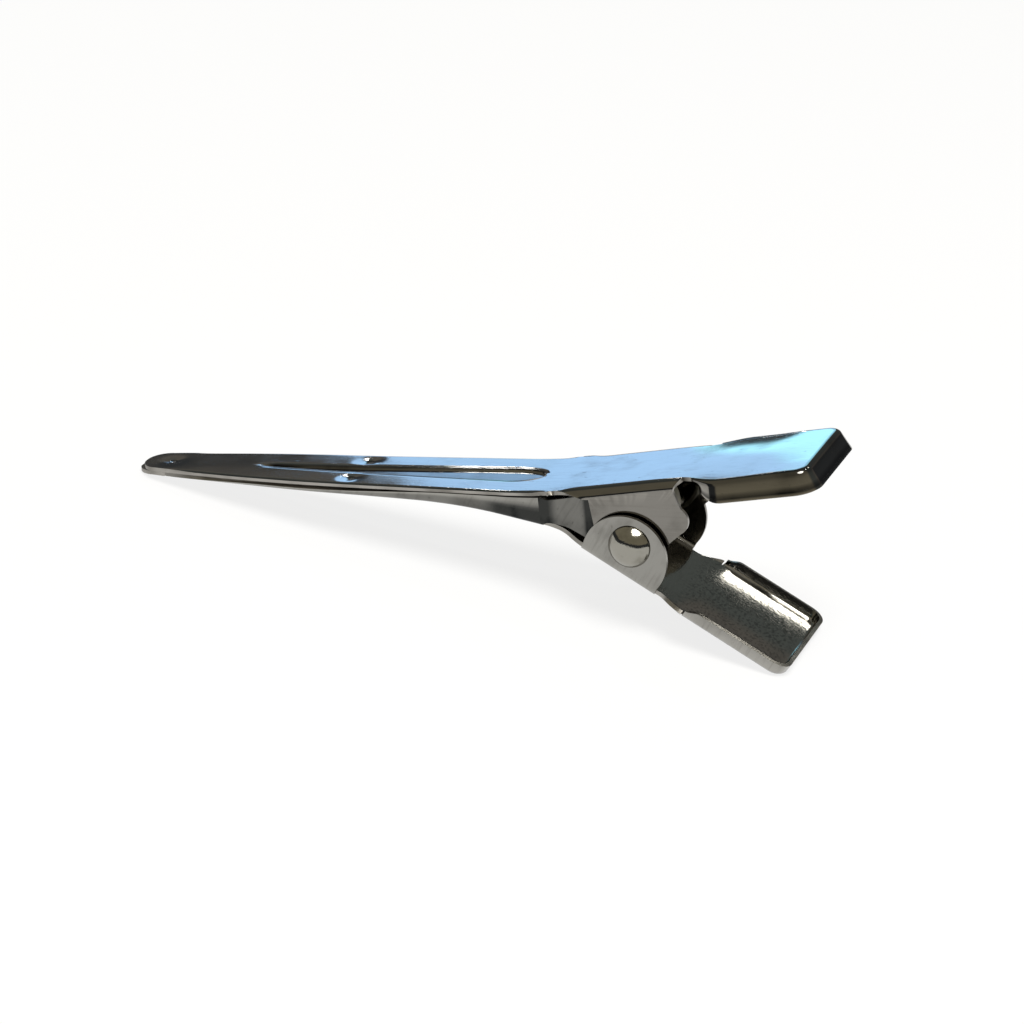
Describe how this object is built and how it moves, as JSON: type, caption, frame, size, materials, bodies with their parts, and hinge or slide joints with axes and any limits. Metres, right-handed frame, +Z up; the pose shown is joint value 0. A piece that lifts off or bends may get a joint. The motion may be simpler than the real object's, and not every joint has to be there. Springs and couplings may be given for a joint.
{
  "type": "sectioning clip",
  "caption": "Sprung metal sectioning clip: two pressed levers with a tapered beak and finger trays, hinged on a riveted pin and held shut by a strip spring.",
  "frame": {"origin": "on the floor, under the middle of the clip's outline", "axes": "+X from the beak to the handles, +Y along the pivot pin away from the pictured side, +Z up"},
  "size_m": [0.0564, 0.0122, 0.0167],
  "materials": {
    "nickel_plate": "polished",
    "nickel_plate_lower": "polished",
    "spring_steel": "satin",
    "rivet_steel": "polished"
  },
  "bodies": {
    "lower_body": {"lower_lever": "nickel_plate_lower", "pivot_rivet": "rivet_steel", "spring": "spring_steel"},
    "upper_body": {"upper_lever": "nickel_plate"}
  },
  "joints": [
    {"name": "jaw_hinge", "type": "hinge", "parent": "lower_body", "child": "upper_body", "pos_m": [0.01458, 0, 0.00712], "axis": [0, 1, 0], "range_deg": [0, 45], "stiffness_Nm_per_rad": 0.02, "springref_deg": -57.3, "deforming": ["spring"]}
  ]
}
